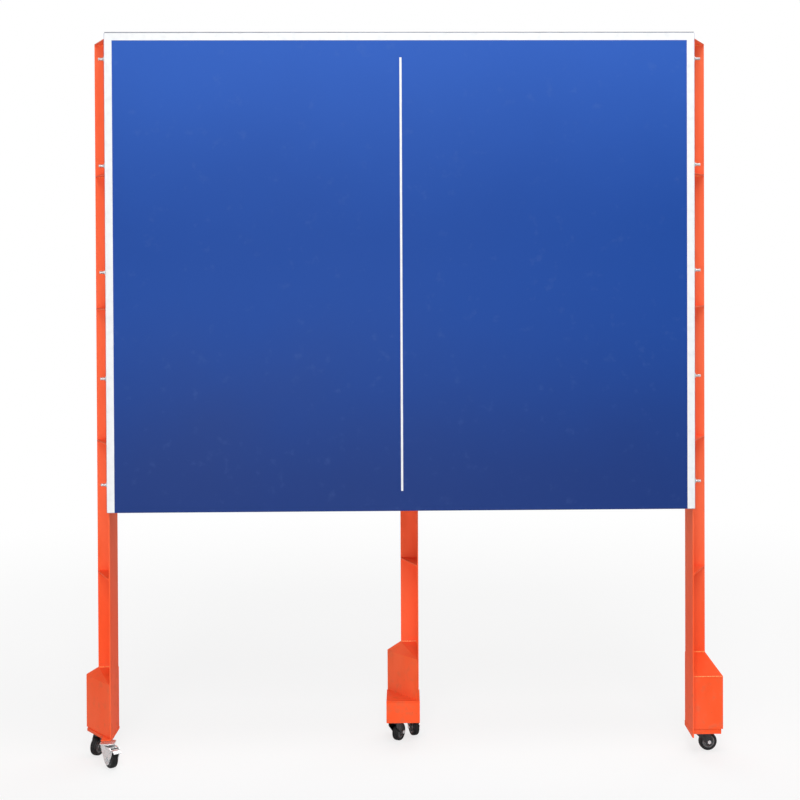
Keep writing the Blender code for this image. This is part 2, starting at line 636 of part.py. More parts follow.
for name, (foot_name, reach, run, trail_way, braked) in CASTERS.items():
    flange_x, front_y, wing_side, carrier = FEET[foot_name]
    king_x = flange_x + wing_side * reach
    king_y = front_y + run
    half = CASTER_PLATE_SIDE / 2
    trim = CASTER_PLATE_TRIM
    outline = [(-half + trim, -half), (half - trim, -half), (half, -half + trim), (half, half - trim),
               (half - trim, half), (-half + trim, half), (-half, half - trim), (-half, -half + trim)]
    plate = add(name + "_caster_plate", prism([(king_x + x, king_y + y) for x, y in outline],
                                              CASTER_HEIGHT - CASTER_PLATE, CASTER_HEIGHT), ZINC)
    crown_bottom = CROWN_TOP - FORK_SHEET - GAP
    weld(plate, moved(stepped_rod([
        (KINGPIN_RADIUS * KINGPIN_HEAD_FLARE, crown_bottom - KINGPIN_HEAD, crown_bottom, 16),
        (KINGPIN_RADIUS, crown_bottom, CROWN_TOP + GAP, 16),
        (RACE_RADIUS, CROWN_TOP + GAP, CASTER_HEIGHT - CASTER_PLATE / 2, 16),
    ]), at(king_x, king_y, 0)))

    trailing = Matrix.Rotation(math.radians(trail_way), 4, "Z")
    swivel = empty(name + "_swivel", at(king_x, king_y, 0) @ trailing)
    body = add(name + "_fork", fork(braked), ZINC, swivel)
    for space in wheel_space(braked):
        cut(body, space)
    cut(body, rod(KINGPIN_RADIUS + GAP, CROWN_TOP - CUT_PAST, CROWN_TOP + CUT_PAST, 16))
    axle_line = at(TRAIL, 0, WHEEL_RADIUS) @ ALONG_Y
    cut(body, moved(rod(AXLE_RADIUS + GAP, -WHEEL_RADIUS, WHEEL_RADIUS, 12), axle_line))

    span = WHEEL_HALF_WIDTH + FORK_CLEARANCE + FORK_SHEET + GAP
    axle = stepped_rod([
        (AXLE_RADIUS * AXLE_NUT_FLARE, -AXLE_HALF_LENGTH, -span, 6), (AXLE_RADIUS, -span, span, 12),
        (AXLE_RADIUS * AXLE_NUT_FLARE, span, AXLE_HALF_LENGTH, 6),
    ])
    add(name + "_axle", moved(axle, axle_line), ZINC, swivel)

    spin = empty(name + "_spin", axle_line, swivel)
    wide = WHEEL_HALF_WIDTH
    hub_profile = [
        (AXLE_RADIUS + GAP, -wide), (HUB_BOSS_RADIUS, -wide), (HUB_WEB_RADIUS, -wide * HUB_WEB_SHARE),
        (HUB_RIM_RADIUS, -wide * HUB_WEB_SHARE), (HUB_RADIUS, -wide * HUB_RIM_SHARE),
        (HUB_RADIUS, wide * HUB_RIM_SHARE), (HUB_RIM_RADIUS, wide * HUB_WEB_SHARE),
        (HUB_WEB_RADIUS, wide * HUB_WEB_SHARE), (HUB_BOSS_RADIUS, wide), (AXLE_RADIUS + GAP, wide),
    ]
    add(name + "_hub", turned(hub_profile, 24), GREY_HUB, spin, smooth=True)
    tread = [
        (HUB_RADIUS + GAP, -wide * HUB_RIM_SHARE), (WHEEL_RADIUS - TREAD_SHOULDER, -wide),
        (WHEEL_RADIUS - TREAD_EDGE, -wide * TREAD_EDGE_SHARE), (WHEEL_RADIUS, -wide * TREAD_FLAT_SHARE),
        (WHEEL_RADIUS, wide * TREAD_FLAT_SHARE), (WHEEL_RADIUS - TREAD_EDGE, wide * TREAD_EDGE_SHARE),
        (WHEEL_RADIUS - TREAD_SHOULDER, wide), (HUB_RADIUS + GAP, wide * HUB_RIM_SHARE),
    ]
    add(name + "_tyre", turned(tread, 32), BLACK_RUBBER, spin, smooth=True)

    if braked:
        pivot = at(PEDAL_PIVOT_OUT, 0, PEDAL_PIVOT_Z)
        cut(body, moved(rod(PEDAL_PIN_RADIUS + GAP, -WHEEL_RADIUS, WHEEL_RADIUS, 12), pivot @ ALONG_Y))
        pin = stepped_rod([
            (PEDAL_PIN_RADIUS * AXLE_NUT_FLARE, -span - PIN_HEAD, -span, 12),
            (PEDAL_PIN_RADIUS, -span, span, 12),
            (PEDAL_PIN_RADIUS * AXLE_NUT_FLARE, span, span + PIN_HEAD, 12),
        ])
        add("brake_pin", moved(pin, pivot @ ALONG_Y), ZINC, swivel)
        pedal_pivot = empty("brake_pivot", pivot, swivel)
        half_pedal = WHEEL_HALF_WIDTH + FORK_CLEARANCE - PEDAL_SIDE_GAP
        turns = [math.radians(degrees) for degrees in range(150, 361, 30)]
        boss = [(PEDAL_BOSS_RADIUS * math.cos(turn), PEDAL_BOSS_RADIUS * math.sin(turn)) for turn in turns]
        lever = prism(boss + PEDAL_LEVER, -half_pedal, half_pedal)
        pedal = add("brake_pedal", moved(lever, Matrix.Rotation(math.pi / 2, 4, "X")), ZINC, pedal_pivot)
        cut(pedal, moved(rod(PEDAL_PIN_RADIUS + GAP, -WHEEL_RADIUS, WHEEL_RADIUS, 12), ALONG_Y))
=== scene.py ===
import json
import math

import bmesh
import bpy
from mathutils import Matrix, Vector


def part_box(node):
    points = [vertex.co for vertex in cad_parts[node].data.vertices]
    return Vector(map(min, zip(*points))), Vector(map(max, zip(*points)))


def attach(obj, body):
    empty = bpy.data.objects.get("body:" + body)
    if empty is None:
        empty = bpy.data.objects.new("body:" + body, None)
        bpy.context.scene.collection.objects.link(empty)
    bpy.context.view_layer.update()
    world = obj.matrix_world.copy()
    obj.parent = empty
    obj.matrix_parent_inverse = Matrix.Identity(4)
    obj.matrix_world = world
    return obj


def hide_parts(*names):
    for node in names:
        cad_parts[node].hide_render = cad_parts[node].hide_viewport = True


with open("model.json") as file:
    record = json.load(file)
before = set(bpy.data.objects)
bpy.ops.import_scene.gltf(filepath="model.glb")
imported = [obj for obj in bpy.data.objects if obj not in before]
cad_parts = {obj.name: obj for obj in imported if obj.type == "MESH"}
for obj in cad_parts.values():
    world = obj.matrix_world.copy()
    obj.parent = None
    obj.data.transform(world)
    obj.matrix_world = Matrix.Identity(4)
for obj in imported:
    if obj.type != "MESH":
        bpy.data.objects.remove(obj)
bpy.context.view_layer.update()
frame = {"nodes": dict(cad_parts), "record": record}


# The playing board is a 22 mm panel sprayed satin blue, with white lines painted on its face:
# 20 mm along the sides and the top, none at the bottom, and a thin line down the middle. The
# paint turns the front edges, and behind it the grey core shows.
class Term:
    """A socket of a material's node. Each +, - or * on it, and abs, adds a maths node."""

    def __init__(self, nodes, socket):
        self.nodes, self.socket = nodes, socket

    def __add__(self, other):
        return self.nodes.maths("ADD", self, other)

    def __sub__(self, other):
        return self.nodes.maths("SUBTRACT", self, other)

    def __rsub__(self, other):
        return self.nodes.maths("SUBTRACT", other, self)

    def __mul__(self, other):
        return self.nodes.maths("MULTIPLY", self, other)

    def __abs__(self):
        return self.nodes.maths("ABSOLUTE", self)

    __radd__ = __add__
    __rmul__ = __mul__


class Nodes:
    """The nodes of one material, or of the world."""

    def __init__(self, tree):
        self.tree = tree

    def fill(self, socket, value):
        if isinstance(value, Term):
            self.tree.links.new(value.socket, socket)
        else:
            socket.default_value = value

    def node(self, kind, settings, sockets, output=0):
        """Makes a node: its settings first, then the values or links of its sockets."""
        made = self.tree.nodes.new(kind)
        for key, value in settings.items():
            setattr(made, key, value)
        for key, value in sockets.items():
            self.fill(made.inputs[key], value)
        return Term(self, made.outputs[output])

    def maths(self, operation, *values):
        return self.node("ShaderNodeMath", {"operation": operation}, dict(enumerate(values)))


class Finish(Nodes):
    """One material, built round its main shader from patterns on the piece's own coordinates."""

    def __init__(self, name, metallic=0.0, coat=0.0, gloss=0.5):
        self.material = bpy.data.materials.new(name)
        self.material.use_nodes = True
        super().__init__(self.material.node_tree)
        self.shader = self.tree.nodes["Principled BSDF"]
        self.shader.inputs["Metallic"].default_value = metallic
        self.shader.inputs["Coat Weight"].default_value = coat
        self.shader.inputs["Specular IOR Level"].default_value = gloss
        self.place = self.node("ShaderNodeTexCoord", {}, {}, "Object")
        parts = self.node("ShaderNodeSeparateXYZ", {}, {0: self.place}).socket.node
        self.x, self.y, self.z = (Term(self, output) for output in parts.outputs)

    def noise(self, scale, detail=3.0, stretch=(1, 1, 1)):
        spot = self.node("ShaderNodeMapping", {}, {"Vector": self.place, "Scale": stretch})
        return self.node("ShaderNodeTexNoise", {}, {"Vector": spot, "Scale": scale, "Detail": detail})

    def rise(self, value, low, high):
        """0 below low, 1 above high, smooth between."""
        smooth = {"interpolation_type": "SMOOTHSTEP"}
        return self.node("ShaderNodeMapRange", smooth, {"Value": value, "From Min": low, "From Max": high})

    def sway(self, pattern, amount):
        """A pattern about 0.5 made one about 0, as strong as the amount."""
        return (pattern - 0.5) * amount

    def opaque(self, colour):
        return colour if isinstance(colour, Term) else (*colour, 1.0)

    def colours(self, mask, first, second):
        """The first colour where the mask is 0, the second where it is 1."""
        factor, colour_a, colour_b, colour_out = 0, 6, 7, 2
        sockets = {factor: mask, colour_a: self.opaque(first), colour_b: self.opaque(second)}
        return self.node("ShaderNodeMix", {"data_type": "RGBA"}, sockets, colour_out)

    def surface(self, colour, roughness, height=None, depth=0.0001, strength=0.3):
        self.fill(self.shader.inputs["Base Color"], self.opaque(colour))
        self.fill(self.shader.inputs["Roughness"], roughness)
        if height is not None:
            relief = {"Strength": strength, "Distance": depth, "Height": height}
            self.fill(self.shader.inputs["Normal"], self.node("ShaderNodeBump", {}, relief))
        return self.material


board_low, board_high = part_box("playing_board")
LINE = 0.0205
CENTRE_LINE = 0.0052
CENTRE_LINE_FROM_BOTTOM = 0.052
CENTRE_LINE_FROM_TOP = 0.065
SOFT_EDGE = 0.0003
SOFT_END = 0.001
LINES_TURN_BACK = (0.0006, 0.0016)
PAINT_TURNS_BACK = (0.0016, 0.0026)
# The three blues carry painted light and shade: the board is painted lighter towards the top and darker
# towards the bottom.
BLUE_LIT_HIGH = (0.020, 0.095, 0.440)
BLUE_MIDDLE = (0.004, 0.054, 0.300)
BLUE_SHADED_LOW = (0.003, 0.030, 0.180)
BLUE_RUBBED = (0.10, 0.18, 0.42)
RUBBED_SHARE = 0.10
LINE_WHITE = (0.830, 0.842, 0.850)
LINE_SOILED = (0.62, 0.64, 0.66)
SOILED_SHARE = 0.25
CORE_EDGE = (0.250, 0.270, 0.300)
CLOUD_SWAY = 0.16
BOARD_ROUGHNESS = 0.50
LINE_ROUGHER = 0.06
CLOUD_ROUGHER = 0.10
GRAIN_ROUGHER = 0.05
LINE_PROUD = 1.5


def board_paint():
    paint = Finish("blue_table_paint", gloss=0.2)
    front = 1 - paint.rise(paint.y, *(board_low.y + depth for depth in LINES_TURN_BACK))
    side_start, top_start = board_high.x - LINE, board_high.z - LINE
    side = paint.rise(abs(paint.x), side_start, side_start + SOFT_EDGE)
    top = paint.rise(paint.z, top_start, top_start + SOFT_EDGE)
    middle = 1 - paint.rise(abs(paint.x), CENTRE_LINE / 2, CENTRE_LINE / 2 + SOFT_EDGE)
    lower_end = board_low.z + CENTRE_LINE_FROM_BOTTOM
    upper_end = board_high.z - CENTRE_LINE_FROM_TOP
    middle = middle * paint.rise(paint.z, lower_end, lower_end + SOFT_END)
    middle = middle * (1 - paint.rise(paint.z, upper_end, upper_end + SOFT_END))
    lines = paint.maths("MAXIMUM", paint.maths("MAXIMUM", side, top), middle) * front

    # Painted light and shade: the blue blends with height from the shaded low blue to the lit high blue,
    # swayed by a random cloud.
    cloud = paint.noise(scale=2.4, detail=2.0)
    height_share = (paint.z - board_low.z) * (1 / (board_high.z - board_low.z))
    share = height_share + paint.sway(cloud, CLOUD_SWAY)
    lower_blue = paint.colours(paint.rise(share, low=0.0, high=0.5), BLUE_SHADED_LOW, BLUE_MIDDLE)
    blue = paint.colours(paint.rise(share, low=0.55, high=1.05), lower_blue, BLUE_LIT_HIGH)
    rubbed = paint.rise(paint.noise(scale=38.0, detail=5.0), low=0.60, high=0.78)
    blue = paint.colours(rubbed * RUBBED_SHARE, blue, BLUE_RUBBED)
    soiled = paint.rise(paint.noise(scale=60.0, detail=4.0), low=0.45, high=0.75)
    white = paint.colours(soiled * SOILED_SHARE, LINE_WHITE, LINE_SOILED)
    core = paint.rise(paint.y, *(board_low.y + depth for depth in PAINT_TURNS_BACK))
    colour = paint.colours(core, paint.colours(lines, blue, white), CORE_EDGE)
    grain = paint.noise(scale=900.0, detail=2.0)
    rough = BOARD_ROUGHNESS + paint.sway(cloud, CLOUD_ROUGHER) + lines * LINE_ROUGHER
    rough = rough + paint.sway(grain, GRAIN_ROUGHER)
    return paint.surface(colour, rough, grain + lines * LINE_PROUD, depth=0.00012, strength=0.25)


def body_of_node(node):
    for body, nodes in frame["record"]["behaviour"]["bodies"].items():
        if node in nodes:
            return body
    raise SystemExit(f"no body holds {node}")


SMOOTH_DEGREES = 35


def shown(name, shape, material, body, replaces=()):
    """Turns a finished bmesh into a piece of the object."""
    mesh = bpy.data.meshes.new(name)
    shape.normal_update()
    shape.to_mesh(mesh)
    shape.free()
    mesh.materials.append(material)
    mesh.shade_smooth()
    mesh.set_sharp_from_angle(angle=math.radians(SMOOTH_DEGREES))
    piece = bpy.data.objects.new(name, mesh)
    bpy.context.scene.collection.objects.link(piece)
    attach(piece, body)
    if replaces:
        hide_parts(*replaces)
    return piece


SAME_POINT = 0.00001
FLAT_DEGREES = 1
BROKEN_DEGREES = 40
FOLD_NEAR = 0.0002
FOLD_SEGMENTS = 5


def eased(node, material, width, segments, folds=()):
    """Stands for a CAD node with its edges broken; folds are upright edges with a bend radius."""
    shape = bmesh.new()
    shape.from_mesh(frame["nodes"][node].data)
    bmesh.ops.remove_doubles(shape, verts=shape.verts, dist=SAME_POINT)
    bmesh.ops.dissolve_limit(shape, angle_limit=math.radians(FLAT_DEGREES), verts=shape.verts,
                             edges=shape.edges)
    for fold_x, fold_y, radius in folds:
        edges = [edge for edge in shape.edges
                 if all(abs(vert.co.x - fold_x) < FOLD_NEAR and abs(vert.co.y - fold_y) < FOLD_NEAR
                        for vert in edge.verts)]
        if edges:
            bmesh.ops.bevel(shape, geom=edges, offset=radius, segments=FOLD_SEGMENTS, profile=0.5,
                            affect="EDGES", material=-1)
    piece = shown(node + "_finished", shape, material, body_of_node(node), (node,))
    broken = piece.modifiers.new("broken_edges", "BEVEL")
    broken.width = width
    broken.segments = segments
    broken.limit_method = "ANGLE"
    broken.angle_limit = math.radians(BROKEN_DEGREES)
    broken.harden_normals = False


eased("playing_board", board_paint(), width=0.0006, segments=3)


# A thin grey strip caps the board's top edge, where balls and hands would chip it. It is rolled
# aluminium, glued on, and shows as a fine line along the top.
STRIP_HEIGHT = 0.0012
STRIP_SHORT = 0.0015
STRIP_INSET = 0.0004
STRIP_SEAT = 0.0001
STRIP_CORNER = 0.0003
STRIP_GREY = (0.300, 0.310, 0.330)
STRIP_DIRT = (0.120, 0.125, 0.135)
STRIP_DIRT_SHARE = 0.6
STRIP_ROUGHNESS = 0.46
STREAK_ROUGHER = 0.2


def strip_finish():
    grey = Finish("grey_edge_strip", metallic=0.35)
    streak = grey.noise(scale=240.0, detail=3.0, stretch=(0.15, 1, 0.15))
    dirt = grey.rise(grey.noise(scale=9.0, detail=4.0), low=0.48, high=0.70)
    colour = grey.colours(dirt * STRIP_DIRT_SHARE, STRIP_GREY, STRIP_DIRT)
    return grey.surface(colour, STRIP_ROUGHNESS + grey.sway(streak, STREAK_ROUGHER), streak, depth=0.00008)


def block(size, corner):
    """A box about the origin with its corners rounded."""
    shape = bmesh.new()
    bmesh.ops.create_cube(shape, size=1.0)
    bmesh.ops.scale(shape, vec=size, verts=shape.verts)
    bmesh.ops.bevel(shape, geom=shape.edges[:], offset=corner, segments=2, profile=0.5,
                    affect="EDGES", material=-1)
    return shape


strip_low = Vector((board_low.x + STRIP_SHORT, board_low.y + STRIP_INSET, board_high.z + STRIP_SEAT))
strip_high = Vector((board_high.x - STRIP_SHORT, board_high.y - STRIP_INSET, board_high.z + STRIP_HEIGHT))
strip = block(strip_high - strip_low, STRIP_CORNER)
bmesh.ops.translate(strip, vec=(strip_low + strip_high) / 2, verts=strip.verts)
shown("board_top_strip", strip, strip_finish(), "frame")


# The sub-frame behind the board and the two rails across the posts are square steel tube, sawn,
# welded at the joints and coated semi-matt black.
TUBE_BLACK = (0.030, 0.031, 0.034)
TUBE_DUST = (0.085, 0.082, 0.078)
TUBE_DUST_SHARE = 0.35
TUBE_ROUGHNESS = 0.40
TUBE_DUST_ROUGHER = 0.18


def tube_coat():
    coat = Finish("black_powder_coat", coat=0.15)
    peel = coat.noise(scale=520.0, detail=2.0)
    dust = coat.rise(coat.noise(scale=14.0, detail=5.0), low=0.52, high=0.72)
    colour = coat.colours(dust * TUBE_DUST_SHARE, TUBE_BLACK, TUBE_DUST)
    return coat.surface(colour, TUBE_ROUGHNESS + dust * TUBE_DUST_ROUGHER, peel, depth=0.0002, strength=0.35)


tube_material = tube_coat()
for node in ("left_frame_tube", "right_frame_tube", "top_frame_tube", "bottom_frame_tube",
             "centre_frame_tube", "upper_rail", "lower_rail"):
    eased(node, tube_material, width=0.0009, segments=3)


# Twenty domed screws with a sunk middle go through the tubes into the board's back, four up each
# upright tube and four along the top and bottom ones. They are bright zinc.
BRIGHT_ZINC = (0.720, 0.730, 0.740)
ZINC_DULLING = 0.42
ZINC_ROUGHNESS = 0.26
PATCH_ROUGHER = 0.22
SCRATCH_ROUGHER = 0.18


def zinc_plate(name, tone, worn_share):
    """Fine scratches, and dull patches where fingers and floor have been."""
    zinc = Finish(name, metallic=0.92)
    scratch = zinc.noise(scale=700.0, detail=2.0, stretch=(1, 0.12, 1))
    patch = zinc.rise(zinc.noise(scale=95.0, detail=5.0), low=0.46, high=0.70)
    dull = tuple(channel * ZINC_DULLING for channel in tone)
    rough = ZINC_ROUGHNESS + patch * PATCH_ROUGHER + zinc.sway(scratch, SCRATCH_ROUGHER)
    return zinc.surface(zinc.colours(patch * worn_share, tone, dull), rough, scratch, depth=0.00006)


bright_zinc = zinc_plate("bright_zinc", BRIGHT_ZINC, worn_share=0.45)
AXIS_END = 0.00002
AXIS_SAME_POINT = 0.000002


def turned(profile, steps, matrix):
    """A closed loop of (radius, height) points spun about Z, then placed."""
    shape = bmesh.new()
    points = [shape.verts.new((radius, 0, height)) for radius, height in profile]
    edges = [shape.edges.new((points[i], points[(i + 1) % len(points)])) for i in range(len(points))]
    bmesh.ops.spin(shape, geom=points + edges, cent=(0, 0, 0), axis=(0, 0, 1), dvec=(0, 0, 0),
                   angle=math.tau, steps=steps, use_merge=True, use_duplicate=False)
    bmesh.ops.remove_doubles(shape, verts=shape.verts, dist=AXIS_SAME_POINT)
    bmesh.ops.transform(shape, matrix=matrix, verts=shape.verts)
    bmesh.ops.recalc_face_normals(shape, faces=shape.faces)
    return shape


def together(shapes):
    """One bmesh from many."""
    whole = bmesh.new()
    for shape in shapes:
        held = bpy.data.meshes.new("held")
        shape.to_mesh(held)
        shape.free()
        whole.from_mesh(held)
        bpy.data.meshes.remove(held)
    return whole


def aimed(place, direction):
    """A matrix that stands a piece made along +Z at a place, pointing a given way."""
    return Matrix.Translation(place) @ Vector(direction).to_track_quat("Z", "Y").to_matrix().to_4x4()


HEAD_RIM = 0.35
HEAD_ARC_DEGREES = 15
HEAD_ARC_POINTS = 6
RECESS_WIDTH = 0.25
RECESS_FLOOR = 0.55
SCREW_STEPS = 20


def screw_head(radius, height, matrix):
    """A domed head with a sunk middle, standing on its seat along +Z."""
    turns = [math.radians(HEAD_ARC_DEGREES * step) for step in range(HEAD_ARC_POINTS)]
    arc = [(radius * math.cos(turn), height * (HEAD_RIM + (1 - HEAD_RIM) * math.sin(turn)))
           for turn in turns]
    recess = [(radius * RECESS_WIDTH, height), (AXIS_END, height * RECESS_FLOOR)]
    return turned([(AXIS_END, 0), (radius, 0)] + arc + recess, SCREW_STEPS, matrix)


BOARD_SCREW_RADIUS = 0.0042
BOARD_SCREW_HEIGHT = 0.0026
SHARES_UP = (0.16, 0.39, 0.61, 0.84)
SHARES_ACROSS = (-0.75, -0.25, 0.25, 0.75)
tube_low, tube_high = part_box("left_frame_tube")
side_x = (tube_low.x + tube_high.x) / 2
screw_places = [Vector((x, tube_high.y, board_low.z + (board_high.z - board_low.z) * share))
                for x in (side_x, 0, -side_x) for share in SHARES_UP]
for node in ("top_frame_tube", "bottom_frame_tube"):
    low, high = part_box(node)
    screw_places += [Vector((side_x * share, tube_high.y, (low.z + high.z) / 2)) for share in SHARES_ACROSS]
board_screws = [screw_head(BOARD_SCREW_RADIUS, BOARD_SCREW_HEIGHT, aimed(place, (0, 1, 0)))
                for place in screw_places]
shown("board_screw_heads", together(board_screws), bright_zinc, "frame")


# The posts are 3 mm sheet folded to an L, orange powder coat over a light orange peel. The coat
# is sun-faded higher up, has a few scuffs low down, and grey dust near the floor.
ORANGE = (1.000, 0.108, 0.028)
ORANGE_FADED = (1.000, 0.190, 0.082)
ORANGE_DEEP = (0.760, 0.075, 0.012)
FADED_IN_PATCHES = 0.45
FADED_HIGH_UP = 0.55
DEEP_SHARE = 0.35
DUST_BROWN = (0.420, 0.200, 0.120)
DUST_SHARE = 0.22
SCUFF_BROWN = (0.240, 0.080, 0.045)
SCUFF_SHARE = 0.4
SCUFF_EVERYWHERE = 0.10
ORANGE_ROUGHNESS = 0.60
DUST_ROUGHER = 0.15
SCUFF_ROUGHER = 0.15
WAVE_ROUGHER = 0.12
PEEL_HEIGHT = 0.6
WAVE_HEIGHT = 1.2


def orange_coat():
    coat = Finish("orange_powder_coat", gloss=0.08)
    peel = coat.noise(scale=420.0, detail=2.0)
    broad = coat.noise(scale=5.5, detail=4.0, stretch=(1, 1, 0.35))
    patches = coat.rise(broad, low=0.36, high=0.66)
    high_up = coat.rise(coat.z, low=0.300, high=0.700)
    colour = coat.colours(patches * FADED_IN_PATCHES + high_up * FADED_HIGH_UP, ORANGE, ORANGE_FADED)
    deep = coat.rise(coat.noise(scale=24.0, detail=6.0, stretch=(1, 1, 0.4)), low=0.50, high=0.85)
    colour = coat.colours(deep * DEEP_SHARE, colour, ORANGE_DEEP)
    low_down = 1 - coat.rise(coat.z, low=0.060, high=0.420)
    dust = coat.rise(coat.noise(scale=46.0, detail=6.0), low=0.50, high=0.72) * low_down
    colour = coat.colours(dust * DUST_SHARE, colour, DUST_BROWN)
    scratches = coat.noise(scale=260.0, detail=3.0, stretch=(1, 1, 0.3))
    scuff = coat.rise(scratches, low=0.70, high=0.78) * (low_down + SCUFF_EVERYWHERE)
    colour = coat.colours(scuff * SCUFF_SHARE, colour, SCUFF_BROWN)
    rough = ORANGE_ROUGHNESS + dust * DUST_ROUGHER + scuff * SCUFF_ROUGHER + coat.sway(broad, WAVE_ROUGHER)
    return coat.surface(colour, rough, peel * PEEL_HEIGHT + broad * WAVE_HEIGHT, depth=0.0003, strength=0.35)


orange_material = orange_coat()
SHEET = 0.003
FOLD_OUTER = 0.0030
FOLD_INNER = 0.0012
WINGS = {"left": (-1, 0.050), "right": (1, 0.050), "centre": (-1, 0.045)}


def post_lines(name):
    """The way a post's wing points, where the wing ends, and where the flange stands."""
    way, width = WINGS[name]
    low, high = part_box(name + "_post")
    wing_edge = low.x if way < 0 else high.x
    return way, wing_edge, wing_edge - way * width


for name in WINGS:
    way, wing_edge, flange = post_lines(name)
    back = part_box(name + "_post")[1].y
    folds = ((flange - way * SHEET, back, FOLD_OUTER), (flange, back - SHEET, FOLD_INNER))
    eased(name + "_post", orange_material, width=0.0007, segments=3, folds=folds)


# Weld beads run where each of a post's five ribs meets the flange and the wing. They are small
# overlapping scallops in a glossier orange. Their orange is painted lighter than the coat and has lighter
# patches, which together make a painted highlight.
BEAD_PITCH = 0.0026
BEAD_RADIUS = 0.0023
BEAD_SIDES = 8
BEAD_END = 0.5
BEAD_VALLEY = 0.80
BEAD_STEPS = 6
BEAD_HIGHLIT_ORANGE = (0.980, 0.200, 0.040)
BEAD_HIGHLIGHT_ORANGE = (1.000, 0.420, 0.120)
BEAD_ROUGHNESS = 0.26
BEAD_PATCH_ROUGHER = 0.10


def bead(start, end, radius):
    """A rippled bead: a ring drawn out in steps from start to end."""
    start, end = Vector(start), Vector(end)
    steps = max(BEAD_STEPS, int((end - start).length / BEAD_PITCH) * 2)
    shape = bmesh.new()
    made = bmesh.ops.create_circle(shape, cap_ends=False, segments=BEAD_SIDES, radius=radius * BEAD_END)
    edges = list({edge for vert in made["verts"] for edge in vert.link_edges})
    bmesh.ops.edgeloop_fill(shape, edges=edges)
    stride = (end - start).length / steps
    for step in range(1, steps + 1):
        grown = bmesh.ops.extrude_edge_only(shape, edges=edges)["geom"]
        verts = [item for item in grown if isinstance(item, bmesh.types.BMVert)]
        edges = [item for item in grown if isinstance(item, bmesh.types.BMEdge)
                 and all(vert in verts for vert in item.verts)]
        bmesh.ops.translate(shape, verts=verts, vec=(0, 0, stride))
        wanted = radius * (BEAD_END if step == steps else 1.0 if step % 2 else BEAD_VALLEY)
        centre = sum((vert.co for vert in verts), Vector()) / len(verts)
        factor = wanted / (verts[0].co - centre).length
        bmesh.ops.scale(shape, verts=verts, vec=(factor, factor, 1))
    bmesh.ops.edgeloop_fill(shape, edges=edges)
    bmesh.ops.recalc_face_normals(shape, faces=shape.faces)
    bmesh.ops.transform(shape, matrix=aimed(start, end - start), verts=shape.verts)
    return shape


def bead_coat():
    coat = Finish("orange_welds_painted_highlight", coat=0.3, gloss=0.4)
    # The beads' lighter orange, and the lighter patches on it, are a painted highlight.
    highlight_patches = coat.rise(coat.noise(scale=320.0), low=0.42, high=0.66)
    colour = coat.colours(highlight_patches, BEAD_HIGHLIT_ORANGE, BEAD_HIGHLIGHT_ORANGE)
    return coat.surface(colour, BEAD_ROUGHNESS + highlight_patches * BEAD_PATCH_ROUGHER, highlight_patches)


bead_material = bead_coat()
BEAD_SUNK = 0.0004
RIB_TOP = 1.880
RIB_PITCH = 0.350
RIB_COUNT = 5
RIB_FROM_FRONT = 0.014
RIB_FROM_BACK = 0.010
RIB_FROM_FLANGE = 0.008
RIB_FROM_EDGE = 0.010
for name in WINGS:
    way, wing_edge, flange = post_lines(name)
    low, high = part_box(name + "_post")
    back = high.y - SHEET
    along, inner = flange + way * BEAD_SUNK, back - BEAD_SUNK
    across_start, across_end = flange + way * RIB_FROM_FLANGE, wing_edge - way * RIB_FROM_EDGE
    beads = []
    for number in range(RIB_COUNT):
        z = RIB_TOP - RIB_PITCH * number
        beads.append(bead((along, low.y + RIB_FROM_FRONT, z), (along, back - RIB_FROM_BACK, z), BEAD_RADIUS))
        beads.append(bead((across_start, inner, z), (across_end, inner, z), BEAD_RADIUS))
    shown(name + "_post_weld_beads", together(beads), bead_material, "frame")


# Five carriage bolts up each side post clamp the sub-frame. They are zinc plated, with a flat
# washer, a hexagon nut and a length of thread standing out past the nut.
BOLT_RADIUS = 0.0040
BOLT_SHANK = 0.98
BOLT_HEAD = ((AXIS_END, 0), (BOLT_RADIUS * 1.5, 0.0006), (BOLT_RADIUS * 2.1, 0.0018),
             (BOLT_RADIUS * 2.1, 0.0031), (BOLT_RADIUS * BOLT_SHANK, 0.0032))
SHANK_PAST_FACE = 0.002
WASHER = 0.0016
WASHER_SEAT = 0.0003
WASHER_PROFILE = ((BOLT_RADIUS * 1.02, 0), (BOLT_RADIUS * 2.1, 0), (BOLT_RADIUS * 2.14, WASHER / 2),
                  (BOLT_RADIUS * 2.1, WASHER), (BOLT_RADIUS * 1.02, WASHER))
NUT_HEIGHT = 0.0065
NUT_CORNER = BOLT_RADIUS * 1.85
NUT_BORE = BOLT_RADIUS * 1.01
NUT_CHAMFER = 0.00055
NUT_RIM = 0.95
SAME_LEVEL = 0.000001
THREAD_PITCH = 0.00125
THREAD_ROOT = 0.86
THREAD_TIP = 0.80
THREAD_POINT = 0.0004
THREAD_FLANKS = ((THREAD_ROOT, 0.10), (1.0, 0.45), (1.0, 0.60), (THREAD_ROOT, 0.98))
THREAD_LENGTH = 0.0212
THREAD_STEPS = 20
WASHER_STEPS = 32
HEAD_STEPS = 24
BOLTS_A_POST = 5


